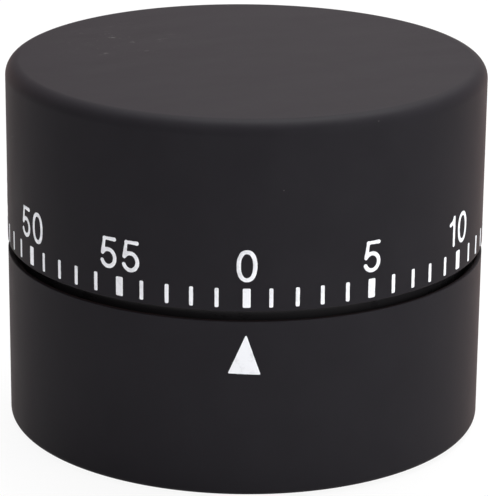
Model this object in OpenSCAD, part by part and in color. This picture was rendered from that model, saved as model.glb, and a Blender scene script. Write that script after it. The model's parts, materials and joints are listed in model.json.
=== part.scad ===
// Mechanical minute timer: a dial cup turns over a base cup and winds a spring movement with a bell.
// Millimetres, +Z up. The origin is the centre of the foot's underside and the pointer faces -Y.

/* [Case] */
// Outside diameter of the dial and the base
case_d = 65; // [63:0.5:76]
// Height of the base cup
base_h = 24; // [21:0.5:27]
// Thickness of the base wall
base_wall = 1.7; // [1.2:0.1:2.4]
// Thickness of the base floor
base_floor = 2.4; // [2:0.1:4]
// Height of the open groove between the base and the dial
groove_h = 1.35; // [0.8:0.05:2.5]
// Height of the dial cup
dial_h = 24.85; // [20:0.05:32]
// Thickness of the dial's skirt
dial_wall = 1.4; // [1:0.1:2.2]
// Thickness of the dial's flat top
dial_roof = 2; // [1.4:0.1:3.5]
// Rounding of the dial's top edge
dial_round = 2; // [0.5:0.1:2.5]
// Rounding of the base's bottom edge
base_round = 0.8; // [0.3:0.1:1.5]
// Rounding of the two edges that face the groove
lip_round = 0.2; // [0.1:0.05:0.4]
// Width of the base's lip at the groove
lip_w = 0.6; // [0.5:0.05:1]
// Depth of the step behind the base's lip
lip_step = 1.2; // [0.5:0.1:2.5]
// Radius of the dial's hub
hub_r = 5.2; // [4.4:0.1:7]
// Height of the ribs under the dial's top
rib_h = 3; // [1.5:0.1:5]
// Thickness of the ribs under the dial's top
rib_t = 1; // [0.8:0.1:2]
// Number of ribs under the dial's top
ribs = 6; // [3:1:8]

/* [Foot and screws] */
// How far the rubber foot stands below the base
foot_proud = 0.4; // [0.2:0.05:1]
// Depth of the foot's groove in the floor
foot_sunk = 1; // [0.6:0.1:1.4]
// Width of the rubber foot ring
foot_w = 3.6; // [2.5:0.1:6]
// Shank diameter of every machine screw
screw_d = 2; // [1.6:0.1:2.4]
// Head diameter of every machine screw
screw_head_d = 3.8; // [3.2:0.1:4.4]
// Head height of every machine screw
screw_head_h = 1.2; // [0.8:0.1:1.3]
// Length of the screws that hold the base
case_screw_l = 7; // [5:0.5:9]
// Length of the screws that go into the pillars
pillar_screw_l = 5.5; // [4.5:0.5:7]

/* [Printed scale] */
// Thickness of the printed ink
ink_t = 0.06; // [0.03:0.01:0.15]
// Height of a tick on the dial
tick_h = 2.56; // [1.5:0.02:3.5]
// Distance of the ticks from the dial's lower edge
tick_lift = 0.55; // [0.4:0.05:1.5]
// Width of a one-minute tick
tick_w = 0.52; // [0.3:0.02:0.8]
// Width of a five-minute tick
five_tick_w = 1; // [0.6:0.05:1.6]
// Height of the numerals
digit_h = 4.35; // [3.5:0.05:6]
// Width of one numeral
digit_w = 2.5; // [2:0.05:2.8]
// Stroke of the numerals
digit_stroke = 0.58; // [0.5:0.02:0.8]
// Space between the two digits of a number
digit_space = 0.7; // [0.4:0.05:1.2]
// Space between the ticks and the numerals
digit_lift = 0.82; // [0.4:0.02:1.5]
// Height of the pointer triangle
pointer_h = 5.17; // [3:0.05:8]
// Width of the pointer triangle
pointer_w = 4.17; // [2.5:0.05:7]
// Distance of the pointer's tip from the base's upper edge
pointer_drop = 1.9; // [0.8:0.05:4]

/* [Carrier and plates] */
// Wall of the carrier that stands in the base
carrier_wall = 1.2; // [0.9:0.1:1.6]
// Thickness of the carrier's deck
deck_t = 1.6; // [1.2:0.1:2.4]
// Radius of the carrier's screw posts
post_r = 2.6; // [2.2:0.1:3]
// Height of the carrier's screw posts
post_h = 8; // [7:0.1:9]
// Clearance of the two movement plates in the carrier, all round
plate_space = 2.05; // [1.5:0.05:2.6]
// Thickness of the two movement plates
plate_t = 1; // [0.8:0.1:1.6]
// Space between the two movement plates
plate_gap = 16; // [15:0.5:18]
// Distance of a pillar's axis from the edge of the plates
pillar_edge = 2.5; // [2:0.1:2.8]
// Radius of a pillar
pillar_r = 1.8; // [1.5:0.1:2]

/* [Bell and hammer] */
// Height of the boss under the bell
bell_lift = 1.5; // [1:0.1:2.5]
// Outside radius of the bell
bell_r = 21.5; // [20:0.1:22]
// Height of the bell
bell_h = 6.4; // [6:0.1:8]
// Thickness of the bell's wall
bell_t = 0.9; // [0.6:0.05:1.4]
// Inner rounding between the bell's floor and wall
bell_round = 3; // [1.5:0.1:4]
// Shank radius of the bell's screw
bell_screw_r = 1.5; // [1:0.1:2]
// Head radius of the bell's screw
bell_head_r = 3; // [2.4:0.1:4]
// Head height of the bell's screw
bell_head_h = 1.4; // [1:0.1:2]
// Length of the bell's screw in the boss
bell_screw_l = 2; // [1.5:0.1:2.4]
// Length of the hammer's arm
hammer_l = 11; // [9:0.1:12]
// Width of the hammer's arm
hammer_w = 1.6; // [1.2:0.1:2.4]
// Thickness of the hammer's arm
hammer_t = 0.8; // [0.6:0.05:1]
// Radius of the hammer's head
head_r = 1.8; // [1.4:0.1:2.2]
// Height of the hammer's head
head_h = 2.7; // [2:0.1:3]
// Gap between the resting hammer and the bell
strike_gap = 0.85; // [0.8:0.05:1.4]

/* [Arbors] */
// Radius of the main arbor
main_r = 3; // [2.6:0.1:3.2]
// Distance from the main arbor's axis to its flat
main_flat = 2.4; // [2:0.05:2.5]
// Radius of the main arbor's lower pivot
main_pivot_r = 1.5; // [1.2:0.1:1.8]
// Radius of the train arbors
arbor_r = 0.8; // [0.7:0.05:0.85]
// Radius of the train arbors' pivots
pivot_r = 0.5; // [0.35:0.05:0.6]
// Wall of the two main bushes
bush_wall = 1.4; // [1:0.1:1.8]

/* [Wheels] */
// Teeth of the great wheel on the main arbor
great_teeth = 72; // [72:2:76]
// Tooth module of the great wheel
great_module = 0.4; // [0.39:0.005:0.41]
// Teeth of the two pinions on the great wheel
first_pinion_teeth = 9; // [9:1:10]
// Tooth module of the smaller wheels
fine_module = 0.3; // [0.29:0.005:0.31]
// Teeth of the second wheel
second_teeth = 60; // [58:1:62]
// Teeth of the third wheel
third_teeth = 40; // [38:1:42]
// Teeth of the alarm wheel
alarm_teeth = 48; // [46:1:50]
// Teeth of the small pinions
fine_pinion_teeth = 8; // [8:1:9]
// Thickness of the train wheels
wheel_t = 0.8; // [0.6:0.05:1]
// Thickness of the great wheel
great_t = 1; // [0.8:0.05:1.2]
// Height of the great wheel's hub
great_hub_h = 1; // [0.6:0.1:1.4]
// Radius of the escape wheel
escape_r = 5.5; // [5.2:0.05:5.8]
// Radius of the striker's star wheel
star_r = 5; // [4.8:0.05:5.3]
// Depth of the escape and star teeth
star_depth = 1.4; // [1.2:0.05:1.6]
// Radius of the balance wheel
balance_r = 6.2; // [5.6:0.1:6.4]
// Width of the balance wheel's rim
balance_rim = 1.2; // [0.8:0.1:1.6]
// Thickness of the balance wheel
balance_t = 1.4; // [1:0.1:1.6]

/* [Spring, cam and lever] */
// Outside radius of the spring drum
drum_r = 12; // [11.6:0.1:12.4]
// Wall of the spring drum
drum_wall = 0.6; // [0.4:0.05:0.8]
// Width of the drum's rivet flange
drum_flange = 2; // [1.8:0.1:2.4]
// Turns of the mainspring
spring_turns = 7; // [5:1:8]
// Thickness of the mainspring
spring_t = 0.35; // [0.2:0.05:0.45]
// Width of the mainspring
spring_w = 6.4; // [4:0.1:6.6]
// Smallest radius of the snail cam
cam_low = 5.2; // [4.6:0.1:5.6]
// Thickness of the snail cam and the release lever
cam_t = 1; // [0.8:0.05:1.2]
// Radius of the nose on the release lever
nose_r = 0.6; // [0.55:0.05:0.7]
// Width of the release lever's arms
lever_w = 1; // [0.8:0.05:1.1]
// Turn of the release lever over the dial's whole travel
lever_turn = 12; // [8:0.5:13]
// Travel of the dial
dial_travel = 348; // [340:1:349]
// Distance of the stop post from the axis
stop_reach = 12.5; // [11:0.1:14]
// Width of the stop arm
stop_w = 1; // [0.8:0.05:1.1]
// Thickness of the stop arm
stop_t = 1; // [0.8:0.05:1.4]

/* [Hidden] */
$fn = 96;

// Clearances
over = 0.5;            // how far a cut runs past the face that it opens
carrier_fit = 0.05;    // carrier in the base
skirt_gap = 0.35;      // carrier collar in the turning dial
run_fit = 0.05;        // a pivot in its hole
seat_fit = 0.02;       // a piece fixed on its shaft or in its hole
screw_fit = 0.03;      // a screw in its thread
screw_pass = 0.2;      // a screw through its clearance hole
end_play = 0.15;       // an arbor's shoulder to the plate
level_gap = 0.4;       // between pieces that pass over each other
small_gap = 0.2;       // between pieces that only just clear
arm_gap = 0.5;         // hammer's arm to the lower plate
wheel_clear = 1;       // lowest wheels to the lower plate
stop_gap = 0.1;        // stop arm to its washer and its post
cam_gap = 0.25;        // lever's nose to the cam
pin_clear = 0.12;      // pallet pins to the tips of the teeth
side_gap = 0.1;        // mainspring to the arbor and the drum

// Heights, from the foot up
case_r = case_d / 2;
base_bottom = foot_proud;
base_top = base_bottom + base_h;
floor_top = base_bottom + base_floor;
dial_bottom = base_top + groove_h;
dial_top = dial_bottom + dial_h;
ceiling = dial_top - dial_roof;
bell_z = floor_top + bell_lift;
bell_mouth = bell_z + bell_h;
hammer_z = bell_mouth + level_gap;
lower_z = hammer_z + hammer_t + arm_gap;
lower_top = lower_z + plate_t;
upper_z = lower_top + plate_gap;
deck_z = upper_z + plate_t;
deck_top = deck_z + deck_t;

// Heights of the wheels between the plates
washer_t = 0.5;
clutch_room = 0.8;
star_z = lower_top + wheel_clear;
cam_z = star_z + wheel_t + level_gap;
middle_z = cam_z + cam_t + level_gap;
great_z = middle_z + wheel_t + clutch_room;
great_hub_top = great_z + great_t + great_hub_h;
drum_z = great_hub_top + level_gap;
escape_lift = 1;
escape_z = drum_z + escape_lift;
yoke_t = 0.8;
pallet_z = escape_z + wheel_t + level_gap;
balance_z = cam_z + level_gap;
stop_z = deck_top + washer_t + stop_gap;
hub_bottom = stop_z + stop_t + small_gap;
hub_cap = 2.4;
bore_top = ceiling - hub_cap;
arbor_top = bore_top - small_gap;

// Radii of the case
dial_in = case_r - dial_wall;
collar_r = dial_in - skirt_gap;
base_in = case_r - base_wall;
carrier_r = base_in - carrier_fit;
carrier_in = min(collar_r, carrier_r) - carrier_wall;
post_sunk = 0.45;
post_ring = carrier_in + post_sunk - post_r;
screw_r = screw_d / 2;
screw_head_r = screw_head_d / 2;
foot_margin = 0.7;
foot_out = post_ring - screw_head_r - screw_pass - foot_margin;
foot_in = foot_out - foot_w;
plate_r = carrier_in - plate_space;
pillar_ring = plate_r - pillar_edge;
post_angles = [30, 150, 270];
pillar_angles = [128, 262, 320];
boss_r = 5;

// Tooth shape
pressure_angle = 20;
wheel_addendum = 0.65;
wheel_dedendum = 1.35;
pinion_addendum = 0.9;
pinion_dedendum = 1;
tooth_play = 0.09;     // taken off the thickness of each tooth
pinion_over = 0.35;    // how far a pinion stands past its wheel

function polar(r, a) = [r * cos(a), r * sin(a)];
function facing(p, q) = atan2(q.y - p.y, q.x - p.x);
// Polar angle of a point at radius r2 that lies d away from the point at radius r1 and angle a1
function swung(r1, a1, r2, d) = a1 + acos((r1 * r1 + r2 * r2 - d * d) / (2 * r1 * r2));
function involute(a) = tan(a) * 180 / PI - a;
function gear_outline(teeth, size, addendum, dedendum) =
    let (
        pitch = size * teeth / 2,
        base = pitch * cos(pressure_angle),
        root = pitch - dedendum * size,
        tip = pitch + addendum * size,
        radii = concat([root], root < base ? [base] : [], [pitch, (pitch + tip) / 2, tip]),
        last = len(radii) - 1,
        half = 90 / teeth - tooth_play / 2 / pitch * 180 / PI + involute(pressure_angle)
    )
    [for (i = [0 : teeth - 1], side = [-1, 1], k = [0 : last])
        let (r = radii[side < 0 ? k : last - k])
        polar(r, 360 * i / teeth + side * (half - (r > base ? involute(acos(base / r)) : 0)))];

// Places of the arbors, seen from above
great_pitch = great_module * great_teeth / 2;
first_pinion_pitch = great_module * first_pinion_teeth / 2;
second_pitch = fine_module * second_teeth / 2;
third_pitch = fine_module * third_teeth / 2;
alarm_pitch = fine_module * alarm_teeth / 2;
fine_pinion_pitch = fine_module * fine_pinion_teeth / 2;
first_ring = great_pitch + first_pinion_pitch;
third_ring = 18;
escape_ring = 18.5;
balance_ring = 18.5;
striker_ring = 18.5;
hammer_ring = 19;
pallet_room = 2;
balance_reach = escape_r + pallet_room;
hammer_reach = star_r + pallet_room;
second_angle = 0;
alarm_angle = 180;
third_angle = swung(first_ring, second_angle, third_ring, second_pitch + fine_pinion_pitch);
escape_angle = swung(third_ring, third_angle, escape_ring, third_pitch + fine_pinion_pitch);
balance_angle = swung(escape_ring, escape_angle, balance_ring, balance_reach);
striker_angle = swung(first_ring, alarm_angle, striker_ring, alarm_pitch + fine_pinion_pitch);
hammer_angle = swung(striker_ring, striker_angle, hammer_ring, hammer_reach);
second_at = polar(first_ring, second_angle);
third_at = polar(third_ring, third_angle);
escape_at = polar(escape_ring, escape_angle);
balance_at = polar(balance_ring, balance_angle);
alarm_at = polar(first_ring, alarm_angle);
striker_at = polar(striker_ring, striker_angle);
hammer_at = polar(hammer_ring, hammer_angle);
plain_arbors = [second_at, third_at, escape_at, balance_at, alarm_at, striker_at];

// Escape and star wheels: two pallet pins, two and a half teeth apart, just clear the tips at rest
star_teeth = 15;
tip_w = 0.2;
root_w = 1.2;
pin_r = 0.2;
pin_angle = 2.5 * 360 / star_teeth / 2;
star_phase = pin_angle + 360 / star_teeth / 4;

// Hammer head and bell
bell_in = bell_r - bell_t;
head_ring = bell_in - head_r - strike_gap;
head_angle = swung(hammer_ring, hammer_angle, head_ring, hammer_l);
head_at = polar(head_ring, head_angle);

// Release lever: its nose follows the snail cam and its tail points at the hammer's finger
lever_ring = 14;
lever_angle = 262;
lever_at = polar(lever_ring, lever_angle);
cam_step = 4;
half_rise = 1.25;
nose_ring = cam_low + nose_r + cam_gap;
nose_mid = nose_ring + half_rise;
nose_l = sqrt(lever_ring * lever_ring - nose_mid * nose_mid);
nose_turn = lever_angle + 180
    + acos((lever_ring * lever_ring + nose_l * nose_l - nose_ring * nose_ring) / (2 * lever_ring * nose_l));
lever_hub_r = 1.9;
lever_post_r = 1;
finger_l = 3.4;
tail_l = norm(hammer_at - lever_at) - finger_l - level_gap;
tail_turn = facing(lever_at, hammer_at);
function nose_at(turn) = lever_at + polar(nose_l, nose_turn + turn);
function cam_point(travel) =
    let (nose = nose_at(travel / dial_travel * lever_turn))
    polar(norm(nose) - nose_r - cam_gap, atan2(nose.y, nose.x) + travel);

// Stop arm and stop post: the post fills the dead sector that the travel leaves
dead_half = (360 - dial_travel) / 2;
stop_angle = 60;
stop_post_r = stop_reach * sin(dead_half) - stop_w / 2 - stop_gap;
stop_arm_l = stop_reach + stop_post_r;

// Hubs, clutch and rivets
hub_wall = 1.5;
fine_hub = 2.2;
clutch_w = 2.4;
dish_h = 0.4;
rivet_r = 0.6;
rivet_head_r = 0.9;
rivet_head_h = 0.5;
rivet_angles = [100, 220, 340];
rivet_ring = drum_r + drum_flange / 2;

// Colours
shell_black = [0.14, 0.135, 0.14];
gloss_black = [0.05, 0.05, 0.055];
rubber_black = [0.08, 0.08, 0.08];
ink_white = [0.92, 0.93, 0.94];
steel = [0.72, 0.73, 0.75];
dark_steel = [0.45, 0.46, 0.48];
brass = [0.82, 0.66, 0.32];
bell_metal = [0.8, 0.8, 0.78];

// Shared shapes

module at(p) {
    translate([p.x, p.y, 0]) children();
}

module rod(z, h, r) {
    translate([0, 0, z]) cylinder(h = h, r = r);
}

module ring(z, h, outer, inner) {
    difference() {
        rod(z, h, outer);
        rod(z - over, h + 2 * over, inner);
    }
}

// The waste outside a quarter circle of radius r round the origin
module corner_waste(r) {
    difference() {
        square(r + over);
        circle(r);
    }
}

module machine_screw(length) {
    rod(0, screw_head_h, screw_head_r);
    rod(-length, length, screw_r);
}

module screw_slot() {
    slot_w = screw_d / 4;
    slot_h = screw_head_h / 2;
    translate([-screw_head_r, -slot_w / 2, screw_head_h - slot_h])
        cube([2 * screw_head_r, slot_w, slot_h + over]);
}

module slotted_screw(length) {
    difference() {
        machine_screw(length);
        screw_slot();
    }
}

module train_arbor(from, to) {
    rod(from + end_play, to - from - 2 * end_play, arbor_r);
    rod(from - plate_t, to - from + 2 * plate_t, pivot_r);
}

module pinion(z, h, teeth, size, turn) {
    translate([0, 0, z]) rotate(turn) linear_extrude(h)
        polygon(gear_outline(teeth, size, pinion_addendum, pinion_dedendum));
}

// Five windows between the hub and the rim of a wheel
module wheel_windows(z, h, inner, outer) {
    windows = 5;
    spoke = 22;
    for (i = [0 : windows - 1])
        rotate(i * 360 / windows + spoke / 2)
            translate([0, 0, z - over])
                rotate_extrude(angle = 360 / windows - spoke)
                    translate([inner, 0]) square([outer - inner, h + 2 * over]);
}

module train_wheel(z, h, teeth, size, turn, bore, hub) {
    rim = 1.2;
    difference() {
        translate([0, 0, z]) rotate(turn) linear_extrude(h)
            polygon(gear_outline(teeth, size, wheel_addendum, wheel_dedendum));
        rod(z - over, h + 2 * over, bore);
        rotate(turn) wheel_windows(z, h, hub, size * (teeth / 2 - wheel_dedendum) - rim);
    }
}

module star_wheel(z, r, turn) {
    root = r - star_depth;
    step = 360 / star_teeth;
    half_tip = tip_w / 2 / r * 180 / PI;
    half_root = root_w / 2 / root * 180 / PI;
    web = 0.8;
    difference() {
        translate([0, 0, z]) rotate(turn) linear_extrude(wheel_t)
            polygon([for (i = [0 : star_teeth - 1], k = [0 : 3])
                polar([root, r, r, root][k], i * step + [-half_root, -half_tip, half_tip, half_root][k])]);
        rod(z - over, wheel_t + 2 * over, arbor_r + seat_fit);
        rotate(turn) wheel_windows(z, wheel_t, arbor_r + web, root - web);
    }
}

// A yoke on its arbor with two pins that hang beside a star wheel of radius r that lies reach away
module pin_yoke(z, pin_z, r, reach, turn) {
    pin_ring = r + pin_clear + pin_r;
    pins = [for (side = [-1, 1]) [reach, 0] - polar(pin_ring, side * pin_angle)];
    arm_w = 1;
    pin_boss_r = 0.65;
    hub = 1.7;
    rotate(turn) difference() {
        union() {
            rod(z, yoke_t, hub);
            for (pin = pins) {
                rotate(atan2(pin.y, pin.x)) translate([0, -arm_w / 2, z]) cube([norm(pin), arm_w, yoke_t]);
                at(pin) rod(z, yoke_t, pin_boss_r);
                at(pin) rod(pin_z, z - pin_z, pin_r);
            }
        }
        rod(z - over, yoke_t + 2 * over, arbor_r + seat_fit);
    }
}

module d_bore(z, h, r, flat) {
    translate([0, 0, z]) linear_extrude(h) intersection() {
        circle(r);
        translate([-r, -r]) square([r + flat, 2 * r]);
    }
}

// Digits stand on y = 0 and are centred on x = 0

module stadium(w, h) {
    translate([-w / 2, w / 2]) square([w, h - w]);
    translate([0, w / 2]) circle(w / 2);
    translate([0, h - w / 2]) circle(w / 2);
}

module ring_part(r, keep_x, keep_y, keep_size) {
    intersection() {
        difference() {
            circle(r);
            circle(r - digit_stroke);
        }
        translate([keep_x, keep_y]) square(keep_size);
    }
}

module digit_zero() {
    s = digit_stroke;
    difference() {
        stadium(digit_w, digit_h);
        translate([0, s]) stadium(digit_w - 2 * s, digit_h - 2 * s);
    }
}

module digit_one() {
    s = digit_stroke;
    flag = digit_w / 2 - s / 2;
    translate([-s / 2, 0]) square([s, digit_h]);
    polygon([[-s / 2, digit_h], [-s / 2 - flag, digit_h - flag], [-s / 2 - flag, digit_h - flag - s],
        [-s / 2, digit_h - 1.2 * s]]);
}

module digit_two() {
    s = digit_stroke;
    r = digit_w / 2;
    translate([0, digit_h - r]) ring_part(r, -r, 0, 2 * r);
    polygon([[r, digit_h - r], [r - s, digit_h - r], [-r, s], [-r + 1.4 * s, s]]);
    translate([-r, 0]) square([digit_w, s]);
}

module digit_three() {
    s = digit_stroke;
    r = (digit_h + s) / 4;
    for (y = [r, digit_h - r]) translate([0, y]) ring_part(r, 0, -r, 2 * r);
    translate([0, r]) ring_part(r, -r, -r, r);
    translate([0, digit_h - r]) ring_part(r, -r, 0, r);
    translate([-s, digit_h / 2 - s / 2]) square([2 * s, s]);
}

module digit_four() {
    s = digit_stroke;
    r = digit_w / 2;
    bar_y = digit_h / 4;
    stem_x = r - 1.6 * s;
    translate([stem_x, 0]) square([s, digit_h]);
    translate([-r, bar_y]) square([digit_w, s]);
    polygon([[-r, bar_y + s], [-r + 1.2 * s, bar_y + s], [stem_x + s / 2, digit_h - 1.2 * s],
        [stem_x + s / 2, digit_h], [stem_x, digit_h]]);
}

module digit_five() {
    s = digit_stroke;
    r = digit_w / 2;
    translate([-r + s / 2, digit_h - s]) square([digit_w - s, s]);
    translate([-r + s / 2, 2 * r - s]) square([s, digit_h - 2 * r + s]);
    translate([0, r]) ring_part(r, 0, -r, 2 * r);
    translate([0, r]) ring_part(r, -r, -r, r);
    translate([-r + s / 2, 2 * r - s]) square([r, s]);
}

module digit(n) {
    if (n == 0) digit_zero();
    if (n == 1) digit_one();
    if (n == 2) digit_two();
    if (n == 3) digit_three();
    if (n == 4) digit_four();
    if (n == 5) digit_five();
}

module number(minutes) {
    half_step = (digit_w + digit_space) / 2;
    if (minutes < 10) {
        digit(minutes);
    } else {
        translate([-half_step, 0]) digit(floor(minutes / 10));
        translate([half_step, 0]) digit(minutes % 10);
    }
}

// Lays a flat shape on the wall as ink, at an angle from the front and a height above the foot
module inked(turn, z) {
    sunk = 2;
    rotate(turn) intersection() {
        translate([0, -case_r + sunk, z]) rotate([90, 0, 0]) linear_extrude(2 * sunk) children();
        ring(0, dial_top, case_r + ink_t, case_r);
    }
}

// Case

module base_cup() {
    counterbore = screw_head_h + small_gap;
    color(shell_black) difference() {
        union() {
            rotate_extrude() difference() {
                translate([0, base_bottom]) square([case_r, base_h]);
                translate([0, floor_top]) square([base_in, base_h]);
                translate([0, base_top - lip_step]) square([case_r - lip_w, lip_step + over]);
                translate([case_r - base_round, base_bottom + base_round]) mirror([0, 1])
                    corner_waste(base_round);
                translate([case_r - lip_round, base_top - lip_round]) corner_waste(lip_round);
            }
            rod(floor_top, bell_lift, boss_r);
        }
        ring(base_bottom - over, foot_sunk + over, foot_out, foot_in);
        rod(bell_z - bell_screw_l - small_gap, bell_screw_l + small_gap + over, bell_screw_r + screw_fit);
        for (a = post_angles) at(polar(post_ring, a)) {
            rod(base_bottom - over, base_floor + 2 * over, screw_r + screw_pass);
            rod(base_bottom - over, counterbore + over, screw_head_r + screw_pass);
        }
    }
}

module foot_ring() {
    color(rubber_black) ring(0, foot_proud + foot_sunk, foot_out - carrier_fit, foot_in + carrier_fit);
}

module case_screws() {
    seat = base_bottom + screw_head_h + small_gap;
    color(dark_steel) for (a = post_angles) at(polar(post_ring, a))
        translate([0, 0, seat]) mirror([0, 0, 1]) slotted_screw(case_screw_l);
}

module pointer_mark() {
    color(ink_white) inked(0, base_top - pointer_drop - pointer_h)
        polygon([[-pointer_w / 2, 0], [pointer_w / 2, 0], [0, pointer_h]]);
}

module carrier() {
    bore_h = case_screw_l - base_floor + screw_head_h + 2 * small_gap;
    color(gloss_black) difference() {
        union() {
            ring(floor_top, base_top - floor_top, carrier_r, carrier_in);
            ring(base_top, deck_z - base_top, collar_r, carrier_in);
            rod(deck_z, deck_t, collar_r);
            for (a = post_angles) at(polar(post_ring, a)) rod(floor_top, post_h, post_r);
        }
        for (a = post_angles) at(polar(post_ring, a))
            rod(floor_top - over, bore_h + over, screw_r + screw_fit);
        for (a = pillar_angles) at(polar(pillar_ring, a))
            rod(deck_z - over, deck_t + 2 * over, screw_r + screw_pass);
        rod(deck_z - over, deck_t + 2 * over, main_r + level_gap);
        at(polar(stop_reach, stop_angle + dead_half))
            rod(deck_z - over, deck_t + 2 * over, stop_post_r + seat_fit);
    }
}

module stop_post() {
    color(steel) at(polar(stop_reach, stop_angle + dead_half))
        rod(deck_z, hub_bottom - deck_z, stop_post_r);
}

module thrust_washer() {
    washer_w = 2.6;
    color(brass) ring(deck_top, washer_t, main_r + run_fit + washer_w, main_r + run_fit);
}

// Movement frame

module plate(z, main_hole, hammer_hole) {
    color(steel) difference() {
        rod(z, plate_t, plate_r);
        rod(z - over, plate_t + 2 * over, main_hole);
        for (p = plain_arbors) at(p) rod(z - over, plate_t + 2 * over, pivot_r + run_fit);
        at(hammer_at) rod(z - over, plate_t + 2 * over, hammer_hole);
        for (a = pillar_angles) at(polar(pillar_ring, a))
            rod(z - over, plate_t + 2 * over, screw_r + screw_pass);
        children();
    }
}

module rivet_holes(z, h) {
    for (a = rivet_angles) at(polar(rivet_ring, a)) rod(z - over, h + 2 * over, rivet_r + seat_fit);
}

module upper_plate() {
    plate(upper_z, main_r + run_fit + bush_wall + seat_fit, pivot_r + run_fit) rivet_holes(upper_z, plate_t);
}

module lower_plate() {
    plate(lower_z, main_pivot_r + run_fit + bush_wall + seat_fit, arbor_r + run_fit)
        at(lever_at) rod(lower_z - over, plate_t + 2 * over, lever_post_r + seat_fit);
}

module pillars() {
    bore_h = pillar_screw_l - plate_t + small_gap;
    color(steel) for (a = pillar_angles) at(polar(pillar_ring, a)) difference() {
        rod(lower_top, plate_gap, pillar_r);
        rod(lower_top - over, bore_h + over, screw_r + screw_fit);
        rod(upper_z - bore_h, bore_h + over, screw_r + screw_fit);
    }
}

module plate_screws() {
    color(dark_steel) for (a = pillar_angles) at(polar(pillar_ring, a))
        translate([0, 0, lower_z]) mirror([0, 0, 1]) slotted_screw(pillar_screw_l);
}

module movement_screws() {
    color(dark_steel) for (a = pillar_angles) at(polar(pillar_ring, a))
        translate([0, 0, deck_top]) slotted_screw(pillar_screw_l + deck_t);
}

module upper_bush() {
    color(brass) ring(upper_z, plate_t, main_r + run_fit + bush_wall, main_r + run_fit);
}

module lower_bush() {
    color(brass) ring(lower_z, plate_t, main_pivot_r + run_fit + bush_wall, main_pivot_r + run_fit);
}

module spring_drum() {
    floor_hole = main_r + level_gap;
    color(steel) difference() {
        union() {
            rod(drum_z, upper_z - drum_z, drum_r);
            rod(upper_z - drum_wall, drum_wall, drum_r + drum_flange);
        }
        rod(drum_z + drum_wall, upper_z - drum_z, drum_r - drum_wall);
        rod(drum_z - over, drum_wall + 2 * over, floor_hole);
        rivet_holes(upper_z - drum_wall, drum_wall);
    }
}

module drum_rivets() {
    color(dark_steel) for (a = rivet_angles) at(polar(rivet_ring, a)) {
        rod(upper_z - drum_wall, drum_wall + plate_t, rivet_r);
        rod(upper_z - drum_wall - rivet_head_h, rivet_head_h, rivet_head_r);
    }
}

// A spiral strip from the arbor out to the drum's wall
module mainspring() {
    inner = main_r + side_gap;
    outer = drum_r - drum_wall - side_gap - spring_t;
    steps = 30 * spring_turns;
    middle = (drum_z + drum_wall + upper_z) / 2;
    spiral = [for (i = [0 : steps]) [inner + (outer - inner) * i / steps, 360 * spring_turns * i / steps]];
    color(dark_steel) translate([0, 0, middle - spring_w / 2]) linear_extrude(spring_w)
        polygon(concat(
            [for (i = [0 : steps]) polar(spiral[i][0], spiral[i][1])],
            [for (i = [steps : -1 : 0]) polar(spiral[i][0] + spring_t, spiral[i][1])]));
}

// Bell

module bell_outline(r, z, h, round) {
    difference() {
        translate([0, z]) square([r, h]);
        translate([r - round, z + round]) mirror([0, 1]) corner_waste(round);
    }
}

module bell() {
    color(bell_metal) difference() {
        rotate_extrude() difference() {
            bell_outline(bell_r, bell_z, bell_h, bell_round + bell_t);
            bell_outline(bell_in, bell_z + bell_t, bell_h, bell_round);
        }
        rod(bell_z - over, bell_t + 2 * over, bell_screw_r + screw_pass);
    }
}

module bell_screw() {
    slot_w = 0.7;
    head_z = bell_z + bell_t;
    color(dark_steel) difference() {
        union() {
            rod(head_z, bell_head_h, bell_head_r);
            rod(bell_z - bell_screw_l, bell_screw_l + bell_t, bell_screw_r);
        }
        translate([-bell_head_r, -slot_w / 2, head_z + bell_head_h / 2])
            cube([2 * bell_head_r, slot_w, bell_head_h]);
    }
}

// Dial and main arbor

module dial_cup() {
    color(shell_black) difference() {
        union() {
            rotate_extrude() difference() {
                translate([0, dial_bottom]) square([case_r, dial_h]);
                translate([0, dial_bottom - over]) square([dial_in, ceiling - dial_bottom + over]);
                translate([case_r - dial_round, dial_top - dial_round]) corner_waste(dial_round);
                translate([case_r - lip_round, dial_bottom + lip_round]) mirror([0, 1])
                    corner_waste(lip_round);
            }
            // Hub and ribs reach into the middle of the roof
            rod(hub_bottom, ceiling + dial_roof / 2 - hub_bottom, hub_r);
            for (i = [0 : ribs - 1]) rotate(i * 360 / ribs)
                translate([0, -rib_t / 2, ceiling - rib_h])
                    cube([dial_in + dial_wall / 2, rib_t, rib_h + dial_roof / 2]);
        }
        d_bore(hub_bottom - over, bore_top - hub_bottom + over, main_r + seat_fit, main_flat + seat_fit);
    }
}

module scale_marks() {
    tick_z = dial_bottom + tick_lift;
    color(ink_white) {
        for (minute = [0 : 59]) {
            width = (minute % 5 == 0 ? five_tick_w : tick_w) / case_r * 180 / PI;
            rotate(270 + 6 * minute - width / 2) translate([0, 0, tick_z])
                rotate_extrude(angle = width) translate([case_r, 0]) square([ink_t, tick_h]);
        }
        for (minute = [0 : 5 : 55]) inked(6 * minute, tick_z + tick_h + digit_lift) number(minute);
    }
}

module main_arbor() {
    shoulder = lower_top + end_play;
    flat_z = stop_z - stop_gap;
    color(steel) {
        rod(lower_z, plate_t + 2 * end_play, main_pivot_r);
        rod(shoulder, flat_z - shoulder, main_r);
        d_bore(flat_z, arbor_top - flat_z, main_r, main_flat);
    }
}

module stop_arm() {
    hub = main_r + hub_wall;
    color(steel) difference() {
        union() {
            rod(stop_z, stop_t, hub);
            rotate(stop_angle) translate([0, -stop_w / 2, stop_z]) cube([stop_arm_l, stop_w, stop_t]);
        }
        d_bore(stop_z - over, stop_t + 2 * over, main_r + seat_fit, main_flat + seat_fit);
    }
}

module great_wheel() {
    hub = main_r + hub_wall;
    color(brass) {
        train_wheel(great_z, great_t, great_teeth, great_module, 0, main_r + seat_fit, hub + hub_wall);
        ring(great_z + great_t, great_hub_h, hub, main_r + seat_fit);
    }
}

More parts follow.
